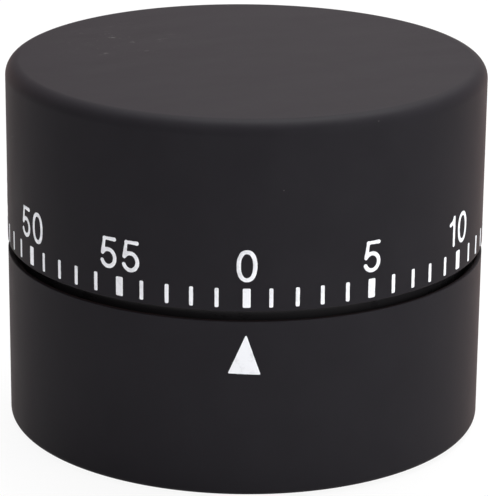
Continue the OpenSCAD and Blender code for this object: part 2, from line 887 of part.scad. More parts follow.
module clutch_collar() {
    color(steel) ring(middle_z, great_z - dish_h - middle_z, main_r + clutch_w, main_r + seat_fit);
}

// A dished washer between the collar and the great wheel
module clutch_spring() {
    inner = main_r + seat_fit;
    outer = main_r + clutch_w;
    thick = dish_h / 2;
    bottom = great_z - dish_h;
    color(dark_steel) rotate_extrude()
        polygon([[inner, bottom], [inner, bottom + thick], [outer, great_z], [outer, great_z - thick]]);
}

module snail_cam() {
    outline = [for (travel = [0 : cam_step : dial_travel]) cam_point(travel)];
    foot_angle = atan2(nose_at(0).y, nose_at(0).x) - dead_half;
    color(brass) difference() {
        translate([0, 0, cam_z]) linear_extrude(cam_t) polygon(concat(outline, [polar(cam_low, foot_angle)]));
        rod(cam_z - over, cam_t + 2 * over, main_r + seat_fit);
    }
}

// Going train

module geared_arbor(where, driver, pinion_z, pinion_h, teeth, size) {
    color(steel) at(where) {
        train_arbor(lower_top, upper_z);
        pinion(pinion_z - pinion_over, pinion_h + 2 * pinion_over, teeth, size,
            facing(where, driver) + 180 / teeth);
    }
}

module second_arbor() {
    geared_arbor(second_at, [0, 0], great_z, great_t, first_pinion_teeth, great_module);
}

module second_wheel() {
    color(brass) at(second_at) train_wheel(middle_z, wheel_t, second_teeth, fine_module,
        facing(second_at, third_at), arbor_r + seat_fit, fine_hub);
}

module third_arbor() {
    geared_arbor(third_at, second_at, middle_z, wheel_t, fine_pinion_teeth, fine_module);
}

module third_wheel() {
    color(brass) at(third_at) train_wheel(star_z, wheel_t, third_teeth, fine_module,
        facing(third_at, escape_at), arbor_r + seat_fit, fine_hub);
}

module escape_arbor() {
    geared_arbor(escape_at, third_at, star_z, wheel_t, fine_pinion_teeth, fine_module);
}

module escape_wheel() {
    color(brass) at(escape_at) star_wheel(escape_z, escape_r, facing(escape_at, balance_at) + star_phase);
}

module balance_staff() {
    color(steel) at(balance_at) train_arbor(lower_top, upper_z);
}

module pallet_yoke() {
    color(steel) at(balance_at)
        pin_yoke(pallet_z, escape_z - small_gap, escape_r, balance_reach, facing(balance_at, escape_at));
}

module balance_wheel() {
    spoke_w = 1.2;
    hub = 1.8;
    color(brass) at(balance_at) difference() {
        union() {
            ring(balance_z, balance_t, balance_r, balance_r - balance_rim);
            rod(balance_z, balance_t, hub);
            for (a = [0, 120, 240]) rotate(a) translate([0, -spoke_w / 2, balance_z])
                cube([balance_r - balance_rim / 2, spoke_w, balance_t]);
        }
        rod(balance_z - over, balance_t + 2 * over, arbor_r + seat_fit);
    }
}

// Alarm

module alarm_arbor() {
    geared_arbor(alarm_at, [0, 0], great_z, great_t, first_pinion_teeth, great_module);
}

module alarm_wheel() {
    color(brass) at(alarm_at) train_wheel(middle_z, wheel_t, alarm_teeth, fine_module,
        facing(alarm_at, striker_at), arbor_r + seat_fit, fine_hub);
}

module striker_arbor() {
    geared_arbor(striker_at, alarm_at, middle_z, wheel_t, fine_pinion_teeth, fine_module);
}

module striker_wheel() {
    color(steel) at(striker_at) star_wheel(star_z, star_r, facing(striker_at, hammer_at) + star_phase);
}

module hammer_arbor() {
    color(steel) at(hammer_at) {
        rod(hammer_z, upper_z - end_play - hammer_z, arbor_r);
        rod(upper_z - end_play, plate_t + end_play, pivot_r);
    }
}

module hammer_yoke() {
    finger_w = 1;
    color(steel) at(hammer_at) {
        pin_yoke(cam_z, star_z - small_gap, star_r, hammer_reach, facing(hammer_at, striker_at));
        difference() {
            rotate(facing(hammer_at, lever_at)) translate([0, -finger_w / 2, cam_z])
                cube([finger_l, finger_w, yoke_t]);
            rod(cam_z - over, yoke_t + 2 * over, arbor_r + seat_fit);
        }
    }
}

module hammer_arm() {
    color(steel) difference() {
        union() {
            at(hammer_at) rod(hammer_z, hammer_t, hammer_w);
            at(hammer_at) rotate(facing(hammer_at, head_at)) translate([0, -hammer_w / 2, hammer_z])
                cube([hammer_l, hammer_w, hammer_t]);
            at(head_at) rod(hammer_z, hammer_t, head_r);
        }
        at(hammer_at) rod(hammer_z - over, hammer_t + 2 * over, arbor_r + seat_fit);
    }
}

module hammer_head() {
    color(brass) at(head_at) rod(hammer_z - head_h, head_h, head_r);
}

module lever_post() {
    color(steel) at(lever_at) {
        rod(lower_z, cam_z + cam_t + small_gap - lower_z, lever_post_r);
        rod(lower_top, cam_z - small_gap - lower_top, lever_hub_r);
    }
}

module release_lever() {
    color(steel) at(lever_at) difference() {
        union() {
            rod(cam_z, cam_t, lever_hub_r);
            rotate(nose_turn) translate([0, -lever_w / 2, cam_z]) cube([nose_l, lever_w, cam_t]);
            at(polar(nose_l, nose_turn)) rod(cam_z, cam_t, nose_r);
            rotate(tail_turn) translate([0, -lever_w / 2, cam_z]) cube([tail_l, lever_w, cam_t]);
        }
        rod(cam_z - over, cam_t + 2 * over, lever_post_r + run_fit);
    }
}

base_cup();
foot_ring();
case_screws();
pointer_mark();
carrier();
stop_post();
thrust_washer();
movement_screws();
upper_plate();
lower_plate();
pillars();
plate_screws();
upper_bush();
lower_bush();
spring_drum();
drum_rivets();
mainspring();
bell();
bell_screw();
lever_post();
dial_cup();
scale_marks();
main_arbor();
stop_arm();
great_wheel();
clutch_spring();
clutch_collar();
snail_cam();
second_arbor();
second_wheel();
third_arbor();
third_wheel();
escape_arbor();
escape_wheel();
balance_staff();
pallet_yoke();
balance_wheel();
alarm_arbor();
alarm_wheel();
striker_arbor();
striker_wheel();
hammer_arbor();
hammer_yoke();
hammer_arm();
hammer_head();
release_lever();
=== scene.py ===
import json
import math
import bmesh
import bpy
from mathutils import Matrix, Vector, noise

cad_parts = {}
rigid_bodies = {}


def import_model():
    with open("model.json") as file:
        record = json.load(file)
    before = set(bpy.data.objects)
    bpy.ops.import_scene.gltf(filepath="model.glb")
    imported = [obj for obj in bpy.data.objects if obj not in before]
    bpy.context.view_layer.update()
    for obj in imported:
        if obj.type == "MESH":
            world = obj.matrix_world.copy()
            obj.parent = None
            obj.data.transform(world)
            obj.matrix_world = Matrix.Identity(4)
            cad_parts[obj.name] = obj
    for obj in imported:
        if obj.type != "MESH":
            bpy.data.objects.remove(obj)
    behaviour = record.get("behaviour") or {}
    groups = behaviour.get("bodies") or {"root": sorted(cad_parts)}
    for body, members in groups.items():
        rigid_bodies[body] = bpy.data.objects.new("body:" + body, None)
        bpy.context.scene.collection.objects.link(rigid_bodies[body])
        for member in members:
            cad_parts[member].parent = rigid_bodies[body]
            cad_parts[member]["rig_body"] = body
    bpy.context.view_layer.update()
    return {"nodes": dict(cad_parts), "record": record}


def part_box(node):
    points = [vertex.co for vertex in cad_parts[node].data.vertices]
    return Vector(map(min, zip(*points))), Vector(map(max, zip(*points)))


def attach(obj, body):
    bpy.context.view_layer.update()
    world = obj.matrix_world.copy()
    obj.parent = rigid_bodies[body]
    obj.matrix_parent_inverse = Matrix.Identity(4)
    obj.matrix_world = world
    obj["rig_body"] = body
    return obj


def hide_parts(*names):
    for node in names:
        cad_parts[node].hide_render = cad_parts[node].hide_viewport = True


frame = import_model()
mm = 0.001
hair = 0.02 * mm                     # how close two places count as the same
flatNormal = 0.9                     # a normal this upright belongs to a flat face
print("frame loaded,", len(frame["nodes"]), "nodes")


# hand tools

def putDown():
    if bpy.context.mode != "OBJECT":
        bpy.ops.object.mode_set(mode="OBJECT")
    bpy.ops.object.select_all(action="DESELECT")


def pickUp(piece):
    putDown()
    piece.select_set(True)
    bpy.context.view_layer.objects.active = piece


def settle(name):
    # the new object keeps its place in its mesh
    piece = bpy.context.view_layer.objects.active
    bpy.ops.object.transform_apply(location=True, rotation=True, scale=True)
    piece.name = name
    piece.data.name = name
    return piece


def pick(piece, kind, test):
    pickUp(piece)
    bpy.ops.object.mode_set(mode="EDIT")
    bpy.ops.mesh.select_mode(type=kind)
    bpy.ops.mesh.select_all(action="DESELECT")
    mesh = bmesh.from_edit_mesh(piece.data)
    for part in {"VERT": mesh.verts, "EDGE": mesh.edges, "FACE": mesh.faces}[kind]:
        if test(part):
            part.select_set(True)
    bmesh.update_edit_mesh(piece.data)


def onRing(radius, z):
    # edges that run round the axis at this radius and height
    return lambda edge: all(abs(v.co.z - z) < hair and abs(v.co.xy.length - radius) < hair
                            for v in edge.verts)


def capAt(z, outer=math.inf):
    # flat faces at this height, inside a radius
    def test(face):
        level = all(abs(v.co.z - z) < hair for v in face.verts)
        reach = max(v.co.xy.length for v in face.verts)
        return level and abs(face.normal.z) > flatNormal and reach < outer
    return test


def facesUp(face):
    return face.normal.z > flatNormal


def facesDown(face):
    return face.normal.z < -flatNormal


def inset(width):
    bpy.ops.mesh.inset(thickness=width, use_even_offset=True)


def pull(height):
    bpy.ops.mesh.extrude_region_move(TRANSFORM_OT_translate={"value": (0, 0, height)})


def roundOff(piece, test, size, steps):
    pick(piece, "EDGE", test)
    bpy.ops.mesh.bevel(offset=size, offset_type="OFFSET", segments=steps, profile=0.5, affect="EDGES")
    putDown()


def useModifier(piece, kind, **settings):
    pickUp(piece)
    modifier = piece.modifiers.new(kind.lower(), kind)
    for name, value in settings.items():
        setattr(modifier, name, value)
    bpy.ops.object.modifier_apply(modifier=modifier.name)


def cutAway(piece, cutter, kind="DIFFERENCE"):
    useModifier(piece, "BOOLEAN", operation=kind, solver="EXACT", object=cutter)
    bpy.data.objects.remove(cutter)
    pick(piece, "VERT", lambda v: True)
    bpy.ops.mesh.dissolve_degenerate(threshold=hair / 10)
    putDown()


def drum(name, radius, bottom, top, sides, x=0.0, y=0.0):
    putDown()
    bpy.ops.mesh.primitive_cylinder_add(vertices=sides, radius=radius, depth=top - bottom,
                                        end_fill_type="NGON", location=(x, y, (top + bottom) / 2))
    return settle(name)


def joinAll(pieces, name):
    putDown()
    for piece in pieces:
        piece.select_set(True)
    bpy.context.view_layer.objects.active = pieces[0]
    if len(pieces) > 1:
        bpy.ops.object.join()
    pieces[0].name = name
    pieces[0].data.name = name
    return pieces[0]


def copyOf(piece):
    # a copy with its own mesh
    other = piece.copy()
    other.data = piece.data.copy()
    bpy.context.scene.collection.objects.link(other)
    return other


def turned(piece, angle):
    # a copy turned about the axis
    other = copyOf(piece)
    other.data.transform(Matrix.Rotation(angle, 4, "Z"))
    return other


def ringPlaces(radius, angles):
    for angle in angles:
        a = math.radians(angle)
        yield radius * math.cos(a), radius * math.sin(a)


def finishMesh(piece, angle=32):
    pickUp(piece)
    bpy.ops.object.shade_smooth_by_angle(angle=math.radians(angle))
    useModifier(piece, "WEIGHTED_NORMAL", keep_sharp=True)


# shader tools

class Flow:
    def __init__(self, tree, socket):
        self.tree = tree
        self.socket = socket

    def beside(self, name):
        # another output of the same node
        return Flow(self.tree, self.socket.node.outputs[name])

    def math(self, kind, other, swap=False):
        step = self.tree.nodes.new("ShaderNodeMath")
        step.operation = kind
        for spot, value in zip(step.inputs, (other, self) if swap else (self, other)):
            feed(self.tree, spot, value)
        return Flow(self.tree, step.outputs[0])

    def __add__(self, other):
        return self.math("ADD", other)

    def __radd__(self, other):
        return self.math("ADD", other, True)

    def __sub__(self, other):
        return self.math("SUBTRACT", other)

    def __rsub__(self, other):
        return self.math("SUBTRACT", other, True)

    def __mul__(self, other):
        return self.math("MULTIPLY", other)

    def __rmul__(self, other):
        return self.math("MULTIPLY", other, True)

    def __lt__(self, other):
        return self.math("LESS_THAN", other)

    def __gt__(self, other):
        return self.math("GREATER_THAN", other)


def feed(tree, spot, value):
    if isinstance(value, Flow):
        tree.links.new(value.socket, spot)
    elif isinstance(value, tuple) and len(value) == 3 and spot.type == "RGBA":
        spot.default_value = (*value, 1)
    else:
        spot.default_value = value


class Finish:
    def __init__(self, owner):
        # the owner is a new material, or the world
        owner.use_nodes = True
        self.owner = owner
        self.tree = owner.node_tree
        self.tree.nodes.clear()

    def node(self, kind, settings=None, inputs=None, out=0):
        made = self.tree.nodes.new(kind)
        for name, value in (settings or {}).items():
            setattr(made, name, value)
        for name, value in (inputs or {}).items():
            feed(self.tree, made.inputs[name], value)
        return Flow(self.tree, made.outputs[out]) if made.outputs else None

    def place(self):
        return self.node("ShaderNodeTexCoord", out="Object")

    def cloud(self, scale, detail=4, rough=0.6, at=None):
        return self.node("ShaderNodeTexNoise", {"noise_dimensions": "3D"},
                         {"Vector": at or self.place(), "Scale": scale, "Detail": detail,
                          "Roughness": rough}, "Fac")

    def stretched(self, size, turn=(0, 0, 0)):
        return self.node("ShaderNodeMapping", {"vector_type": "TEXTURE"},
                         {"Vector": self.place(), "Rotation": turn, "Scale": size})

    def between(self, value, low, high, start=0.0, end=1.0):
        return self.node("ShaderNodeMapRange", {"clamp": True},
                         {"Value": value, "From Min": low, "From Max": high, "To Min": start, "To Max": end})

    def tint(self, share, first, second):
        # the Mix node's sockets for the share and the two colours, and its colour output
        return self.node("ShaderNodeMix", {"data_type": "RGBA"}, {0: share, 6: first, 7: second}, 2)

    def flecks(self, scale, size, share):
        # small spots, each in its own cell, in a share of the cells
        cells = self.node("ShaderNodeTexVoronoi", {"feature": "F1"},
                          {"Vector": self.place(), "Scale": scale}, "Distance")
        tone = self.node("ShaderNodeSeparateColor", None, {"Color": cells.beside("Color")})
        return (cells < size) * (tone < share)

    def bump(self, height, strength, depth):
        return self.node("ShaderNodeBump", None, {"Height": height, "Strength": strength, "Distance": depth})

    def seen(self):
        # 1 on rays from the camera, also by way of a mirror or glass
        path = self.node("ShaderNodeLightPath", out="Is Camera Ray")
        return path + path.beside("Is Glossy Ray") + path.beside("Is Transmission Ray")

    def surface(self, inputs):
        shader = self.node("ShaderNodeBsdfPrincipled", None, inputs)
        self.node("ShaderNodeOutputMaterial", None, {"Surface": shader})
        return self.owner


# finishes

softTouch = {"tone": (0.0154, 0.0146, 0.0172), "worn": (0.0175, 0.0166, 0.0194), "dust": (0.30, 0.29, 0.28),
             "rough": 0.54, "specular": 0.036, "sheen": 0.038, "sheenRough": 0.35, "bloom": (1.0, 0.42, 0.32),
             "grain": 7500, "grainDeep": 0.02 * mm, "mottle": 140, "smear": (12 * mm, 4 * mm, 12 * mm),
             "scuff": (1.9 * mm, 0.7 * mm, 1 * mm), "scuffPlace": (-17.2 * mm, 8 * mm, 50.6 * mm),
             "scuffFull": 4 * mm, "scuffEnd": 9.5 * mm}


def makeSoftBlack():
    look = Finish(bpy.data.materials.new("softBlack"))
    grain = look.cloud(softTouch["grain"], 2)
    mottle = look.cloud(softTouch["mottle"])
    smear = look.cloud(1, 4, 0.65, look.stretched(softTouch["smear"], turn=(0, 0, 0.5)))
    # a patch of light scuffs on the left of the top, and loose dust
    away = look.node("ShaderNodeVectorMath", {"operation": "DISTANCE"},
                     {0: look.place(), 1: softTouch["scuffPlace"]}, "Value")
    scuffs = look.cloud(1, 5, 0.7, look.stretched(softTouch["scuff"], turn=(0, 0, 0.35)))
    scuffs = look.between(scuffs, 0.62, 0.72)
    scuffs = scuffs * look.between(away, softTouch["scuffFull"], softTouch["scuffEnd"], 1, 0)
    dust = look.flecks(420, 0.035, 0.05) + look.flecks(230, 0.028, 0.06)
    tone = look.tint(look.between(mottle, 0.35, 0.7), softTouch["tone"], softTouch["worn"])
    tone = look.tint(0.55 * scuffs, tone, softTouch["dust"])
    tone = look.tint(0.5 * dust, tone, softTouch["dust"])
    rough = softTouch["rough"] + 0.12 * (mottle - 0.5) + 0.10 * (smear - 0.5) + 0.05 * (grain - 0.5)
    return look.surface({"Base Color": tone, "Roughness": rough, "Specular IOR Level": softTouch["specular"],
                         "Sheen Weight": softTouch["sheen"], "Sheen Roughness": softTouch["sheenRough"],
                         "Sheen Tint": softTouch["bloom"],
                         "Normal": look.bump(grain, 0.35, softTouch["grainDeep"])})


gloss = {"tone": (0.0125, 0.0119, 0.0129), "haze": (0.018, 0.0172, 0.0185), "rough": 0.2, "specular": 0.16,
         "hazeSize": 160, "swirl": (4 * mm, 4 * mm, 0.6 * mm), "swirlDeep": 0.03 * mm}


def makeGlossBlack():
    look = Finish(bpy.data.materials.new("glossBlack"))
    haze = look.cloud(gloss["hazeSize"])
    swirl = look.cloud(1, 3, at=look.stretched(gloss["swirl"]))
    tone = look.tint(haze, gloss["tone"], gloss["haze"])
    return look.surface({"Base Color": tone, "Roughness": gloss["rough"] + 0.10 * haze + 0.06 * swirl,
                         "Specular IOR Level": gloss["specular"],
                         "Normal": look.bump(swirl, 0.15, gloss["swirlDeep"])})


ink = {"tone": (0.81, 0.83, 0.86), "thin": (0.54, 0.55, 0.57), "rough": 0.5, "screen": 2600,
       "screenDeep": 0.02 * mm, "patch": 700}


def makeWhiteInk():
    look = Finish(bpy.data.materials.new("whiteInk"))
    screen = look.cloud(ink["screen"], 3)
    patchy = look.cloud(ink["patch"], rough=0.65)
    tone = look.tint(look.between(patchy, 0.52, 0.82), ink["tone"], ink["thin"])
    return look.surface({"Base Color": tone, "Roughness": ink["rough"] + 0.2 * (screen - 0.5),
                         "Normal": look.bump(screen, 0.3, ink["screenDeep"])})


rubber = {"tone": (0.010, 0.010, 0.010), "bloom": (0.026, 0.026, 0.025), "rough": 0.72, "specular": 0.3,
          "crumb": 5200, "crumbDeep": 0.03 * mm, "bloomSize": 220}


def makeRubber():
    look = Finish(bpy.data.materials.new("footRubber"))
    crumb = look.cloud(rubber["crumb"], 3)
    bloom = look.cloud(rubber["bloomSize"])
    tone = look.tint(look.between(bloom, 0.4, 0.75), rubber["tone"], rubber["bloom"])
    return look.surface({"Base Color": tone, "Roughness": rubber["rough"] + 0.2 * (crumb - 0.5),
                         "Specular IOR Level": rubber["specular"],
                         "Normal": look.bump(crumb, 0.4, rubber["crumbDeep"])})


# each metal's name, colour, stain and roughness, its tool marks' size in millimetres
# along x, y and z, and its share of specks
metals = {
    "screw_steel": ("screwSteel", (0.10, 0.10, 0.11), (0.05, 0.05, 0.055), 0.34, (0.6, 0.6, 0.2), 0.10),
    "spring_steel": ("springSteel", (0.20, 0.23, 0.29), (0.14, 0.13, 0.14), 0.26, (4, 4, 0.08), 0.06),
    "plate_steel": ("plateSteel", (0.56, 0.56, 0.55), (0.42, 0.41, 0.39), 0.33, (20, 0.3, 0.3), 0.05),
    "arbor_steel": ("arborSteel", (0.48, 0.48, 0.48), (0.34, 0.33, 0.32), 0.22, (3, 3, 0.1), 0.04),
    "wheel_brass": ("wheelBrass", (0.68, 0.47, 0.20), (0.45, 0.27, 0.10), 0.27, (0.4, 0.4, 4), 0.08),
    "bell_metal": ("bellMetal", (0.66, 0.62, 0.54), (0.48, 0.42, 0.33), 0.16, (6, 6, 0.2), 0.05),
}
metalGrain = {"cloud": 190, "specks": 900, "speckSize": 0.10, "markDeep": 0.02 * mm}


def makeMetal(name, tone, stain, rough, brush, specks):
    look = Finish(bpy.data.materials.new(name))
    lines = look.cloud(1, at=look.stretched(tuple(side * mm for side in brush)))
    cloudy = look.cloud(metalGrain["cloud"])
    spots = look.flecks(metalGrain["specks"], metalGrain["speckSize"], specks)
    colour = look.tint(look.between(cloudy, 0.45, 0.85), tone, stain)
    colour = look.tint(0.6 * spots, colour, stain)
    return look.surface({"Base Color": colour, "Metallic": 1.0,
                         "Roughness": rough + 0.18 * (lines - 0.5) + 0.14 * (cloudy - 0.5) + 0.2 * spots,
                         "Normal": look.bump(lines, 0.12, metalGrain["markDeep"])})


finishes = {"soft_black": makeSoftBlack(), "gloss_black": makeGlossBlack(), "white_ink": makeWhiteInk(),
            "foot_rubber": makeRubber()}
for slot, row in metals.items():
    finishes[slot] = makeMetal(*row)
print("finishes wired,", len(finishes))


def hang(piece, body, slot, *nodes):
    piece.data.materials.clear()
    piece.data.materials.append(finishes[slot])
    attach(piece, body)
    if nodes:
        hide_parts(*nodes)


# dial cup

dial = {"radius": 32.5 * mm, "bottom": 25.75 * mm, "top": 50.6 * mm, "wall": 1.4 * mm, "roof": 2 * mm,
        "hub": 5.2 * mm, "hubBottom": 33.8 * mm, "bore": 3.02 * mm, "flat": 2.42 * mm, "boreTop": 46.2 * mm,
        "topRound": 2 * mm, "lipRound": 0.15 * mm, "mouthRound": 0.2 * mm, "roofRound": 0.6 * mm,
        "hubRound": 0.3 * mm, "ribs": 6, "ribHigh": 3 * mm, "ribThick": 1 * mm, "ribRound": 0.3 * mm,
        "ribInHub": 0.3 * mm, "ribSunk": 0.4 * mm, "sides": 256}


def buildDial():
    ceiling = dial["top"] - dial["roof"]
    cup = drum("dialShell", dial["radius"], dial["bottom"], dial["top"], dial["sides"])
    inside = dial["radius"] - dial["wall"]
    pick(cup, "FACE", capAt(dial["bottom"]))
    inset(dial["wall"])
    pull(ceiling - dial["bottom"])
    inset(inside - dial["hub"])
    pull(dial["hubBottom"] - ceiling)
    inset(dial["hub"] - dial["bore"])
    pull(dial["boreTop"] - dial["hubBottom"])
    # one flat side in the bore
    pick(cup, "VERT", lambda v: v.co.xy.length < dial["bore"] + hair and v.co.x > dial["flat"])
    for v in bmesh.from_edit_mesh(cup.data).verts:
        if v.select:
            v.co.x = dial["flat"]
    roundOff(cup, onRing(dial["radius"], dial["top"]), dial["topRound"], 12)
    roundOff(cup, onRing(dial["radius"], dial["bottom"]), dial["lipRound"], 6)
    roundOff(cup, onRing(inside, dial["bottom"]), dial["mouthRound"], 3)
    roundOff(cup, onRing(inside, ceiling), dial["roofRound"], 4)
    roundOff(cup, onRing(dial["hub"], dial["hubBottom"]), dial["hubRound"], 3)
    finishMesh(cup)
    hang(cup, "dial", "soft_black", "dial_cup")
    # ribs under the roof, from the hub to the skirt
    putDown()
    inner, outer = dial["hub"] - dial["ribInHub"], inside + dial["ribSunk"]
    low, high = ceiling - dial["ribHigh"], ceiling + dial["ribSunk"]
    bpy.ops.mesh.primitive_cube_add(size=1, location=((inner + outer) / 2, 0, (low + high) / 2),
                                    scale=(outer - inner, dial["ribThick"], high - low))
    rib = settle("dialRib")
    roundOff(rib, lambda e: all(v.co.z < low + hair for v in e.verts), dial["ribRound"], 4)
    ribs = [rib] + [turned(rib, math.tau * n / dial["ribs"]) for n in range(1, dial["ribs"])]
    star = joinAll(ribs, "dialRibs")
    finishMesh(star)
    hang(star, "dial", "soft_black")
    print("dial cup done,", len(cup.data.polygons), "faces")


buildDial()


# base cup

base = {"radius": 32.5 * mm, "bottom": 0.4 * mm, "top": 24.4 * mm, "wall": 1.7 * mm, "floorTop": 2.8 * mm,
        "lip": 0.6 * mm, "step": 1.2 * mm, "boss": 5 * mm, "bossTop": 4.3 * mm, "bossHole": 1.53 * mm,
        "holeDeep": 2.2 * mm, "footOut": 24.6 * mm, "footIn": 21 * mm, "footSunk": 1 * mm,
        "screwRing": 27.4 * mm, "screwAngles": (30, 150, 270), "counterbore": 2.1 * mm, "flare": 0.15 * mm,
        "counterDeep": 1.4 * mm, "through": 1.2 * mm, "bottomRound": 0.8 * mm, "lipRound": 0.13 * mm,
        "stepRound": 0.15 * mm, "rimRound": 0.2 * mm, "grooveRound": 0.12 * mm, "sides": 256,
        "holeSides": 64}


def screwPlaces():
    return ringPlaces(base["screwRing"], base["screwAngles"])


def boreCutter(x, y):
    # the mouth flares out in two steps, then come the counterbore and the screw's hole
    bore = base["counterbore"]
    size = bore + base["flare"]
    tool = drum("cutter", size, base["bottom"] - mm, base["bottom"], base["holeSides"], x, y)
    pick(tool, "FACE", facesUp)
    for rise, out in ((0.3, 0.3), (0.7, 0)):        # shares of the flare
        pull(base["flare"] * rise)
        share = (bore + base["flare"] * out) / size
        bpy.ops.transform.resize(value=(share, share, 1), center_override=(x, y, 0))
        size = bore + base["flare"] * out
    pull(base["counterDeep"] - base["flare"])
    inset(bore - base["through"])
    pull(2 * (base["floorTop"] - base["bottom"] - base["counterDeep"]))
    putDown()
    return tool


def buildBase():
    cup = drum("baseShell", base["radius"], base["bottom"], base["top"], base["sides"])
    inside = base["radius"] - base["wall"]
    pick(cup, "FACE", capAt(base["top"]))
    inset(base["lip"])                        # a narrow lip, then a step down to the rim
    pull(-base["step"])
    inset(base["wall"] - base["lip"])
    pull(base["floorTop"] - base["top"] + base["step"])
    inset(inside - base["boss"])
    pull(base["bossTop"] - base["floorTop"])
    inset(base["boss"] - base["bossHole"])
    pull(-base["holeDeep"])
    # the foot's groove in the underside
    pick(cup, "FACE", capAt(base["bottom"]))
    inset(base["radius"] - base["footOut"])
    inset(base["footOut"] - base["footIn"])
    pick(cup, "FACE", lambda f: capAt(base["bottom"], base["footOut"] + hair)(f) and len(f.verts) == 4)
    pull(base["footSunk"])
    cutters = [boreCutter(x, y) for x, y in screwPlaces()]
    cutAway(cup, joinAll(cutters, "cutter"))
    roundOff(cup, onRing(base["radius"], base["bottom"]), base["bottomRound"], 8)
    roundOff(cup, onRing(base["radius"], base["top"]), base["lipRound"], 6)
    roundOff(cup, onRing(base["radius"] - base["lip"], base["top"]), base["stepRound"], 3)
    roundOff(cup, onRing(inside, base["top"] - base["step"]), base["rimRound"], 3)
    roundOff(cup, onRing(base["footOut"], base["bottom"]), base["grooveRound"], 2)
    roundOff(cup, onRing(base["footIn"], base["bottom"]), base["grooveRound"], 2)
    finishMesh(cup)
    hang(cup, "base", "soft_black", "base_cup")
    print("base cup done,", len(cup.data.polygons), "faces")


buildBase()


# rubber foot

foot = {"outer": 24.55 * mm, "inner": 21.05 * mm, "top": 1.4 * mm, "edge": 0.2 * mm, "sides": 192,
        "grooves": 2, "grooveWide": 0.35 * mm, "grooveDeep": 0.15 * mm}


def buildFoot():
    ring = drum("footRing", foot["outer"], 0, foot["top"], foot["sides"])
    wide = foot["outer"] - foot["inner"]
    pick(ring, "FACE", capAt(foot["top"]))
    inset(wide)
    # lands and grooves on the tread, from the rim inwards
    land = (wide - foot["grooves"] * foot["grooveWide"]) / (foot["grooves"] + 1)
    pick(ring, "FACE", capAt(0))
    for n in range(foot["grooves"]):
        inset(land)
        inset(foot["grooveWide"])
    inset(land)
    for n in range(foot["grooves"]):
        outer = foot["outer"] - land - n * (land + foot["grooveWide"])
        inner = outer - foot["grooveWide"]

        def inGroove(face):
            reach = [v.co.xy.length for v in face.verts]
            return (len(reach) == 4 and facesDown(face)
                    and inner - hair < min(reach) and max(reach) < outer + hair)

        pick(ring, "FACE", inGroove)
        pull(foot["grooveDeep"])
    pick(ring, "FACE", lambda f: len(f.verts) == foot["sides"])
    bpy.ops.mesh.bridge_edge_loops()
    for radius in (foot["outer"], foot["inner"]):
        for z in (0, foot["top"]):
            roundOff(ring, onRing(radius, z), foot["edge"], 4)
    finishMesh(ring)
    hang(ring, "base", "foot_rubber", "foot_ring")
    print("foot done,", len(ring.data.polygons), "faces")


buildFoot()


# carrier can, which shows in the groove

carrier = {"radius": 30.75 * mm, "inner": 29.55 * mm, "bottom": 2.8 * mm, "deck": 30.4 * mm, "top": 32 * mm,
           "topRound": 0.4 * mm, "post": 2.6 * mm, "postHole": 1.03 * mm, "postDeep": 6.4 * mm,
           "postTop": 10.8 * mm, "bore": 3.4 * mm, "pillarRing": 25 * mm,
           "pillarAngles": (128, 262, 320), "hole": 1.2 * mm, "sides": 256,
           "boreSides": 96, "holeSides": 48, "postSides": 64}


def pillarPlaces():
    return ringPlaces(carrier["pillarRing"], carrier["pillarAngles"])


def buildCarrier():
    can = drum("carrierCan", carrier["radius"], carrier["bottom"], carrier["top"], carrier["sides"])
    pick(can, "FACE", capAt(carrier["bottom"]))
    inset(carrier["radius"] - carrier["inner"])
    pull(carrier["deck"] - carrier["bottom"])
    putDown()
    tools = [drum("cutter", carrier["bore"], carrier["deck"] - mm, carrier["top"] + mm, carrier["boreSides"])]
    for x, y in pillarPlaces():
        tools.append(drum("cutter", carrier["hole"], carrier["deck"] - mm, carrier["top"] + mm,
                          carrier["holeSides"], x, y))
    cutAway(can, joinAll(tools, "cutter"))
    roundOff(can, onRing(carrier["radius"], carrier["top"]), carrier["topRound"], 4)
    posts = []
    for x, y in screwPlaces():
        post = drum("post", carrier["post"], carrier["bottom"], carrier["postTop"], carrier["postSides"], x, y)
        pick(post, "FACE", facesDown)
        inset(carrier["post"] - carrier["postHole"])
        pull(carrier["postDeep"])
        putDown()
        posts.append(post)
    cutAway(can, joinAll(posts, "post"), "UNION")
    finishMesh(can)
    hang(can, "base", "gloss_black", "carrier")
    print("carrier done,", len(can.data.polygons), "faces")


buildCarrier()


# slotted screws, modelled once for each length

screw = {"head": 1.9 * mm, "headHigh": 1.2 * mm, "headRound": 0.28 * mm, "slotWide": 0.5 * mm,
         "slotDeep": 0.6 * mm, "shank": 1 * mm, "root": 0.82 * mm, "pitch": 0.4 * mm, "neck": 0.5 * mm,
         "sides": 48, "caseLong": 7 * mm, "movementLong": 7.1 * mm, "plateLong": 5.5 * mm,
         # how the slots stand, in degrees
         "caseTurns": (24, 101, 157), "movementTurns": (12, 66, 140), "plateTurns": (48, 93, 171)}


def makeScrew(length):
    # the head stands on z = 0 and the shank hangs below it
    bolt = drum("screw", screw["head"], 0, screw["headHigh"], screw["sides"])
    pick(bolt, "FACE", capAt(0))
    inset(screw["head"] - screw["shank"])
    pull(-screw["neck"])
    for n in range(int((length - screw["neck"]) / screw["pitch"])):
        for size in (screw["root"] / screw["shank"], screw["shank"] / screw["root"]):
            pull(-screw["pitch"] / 2)
            bpy.ops.transform.resize(value=(size, size, 1))
    roundOff(bolt, onRing(screw["head"], screw["headHigh"]), screw["headRound"], 5)
    putDown()
    bpy.ops.mesh.primitive_cube_add(size=1, location=(0, 0, screw["headHigh"]),
                                    scale=(3 * screw["head"], screw["slotWide"], 2 * screw["slotDeep"]))
    cutAway(bolt, settle("cutter"))
    return bolt


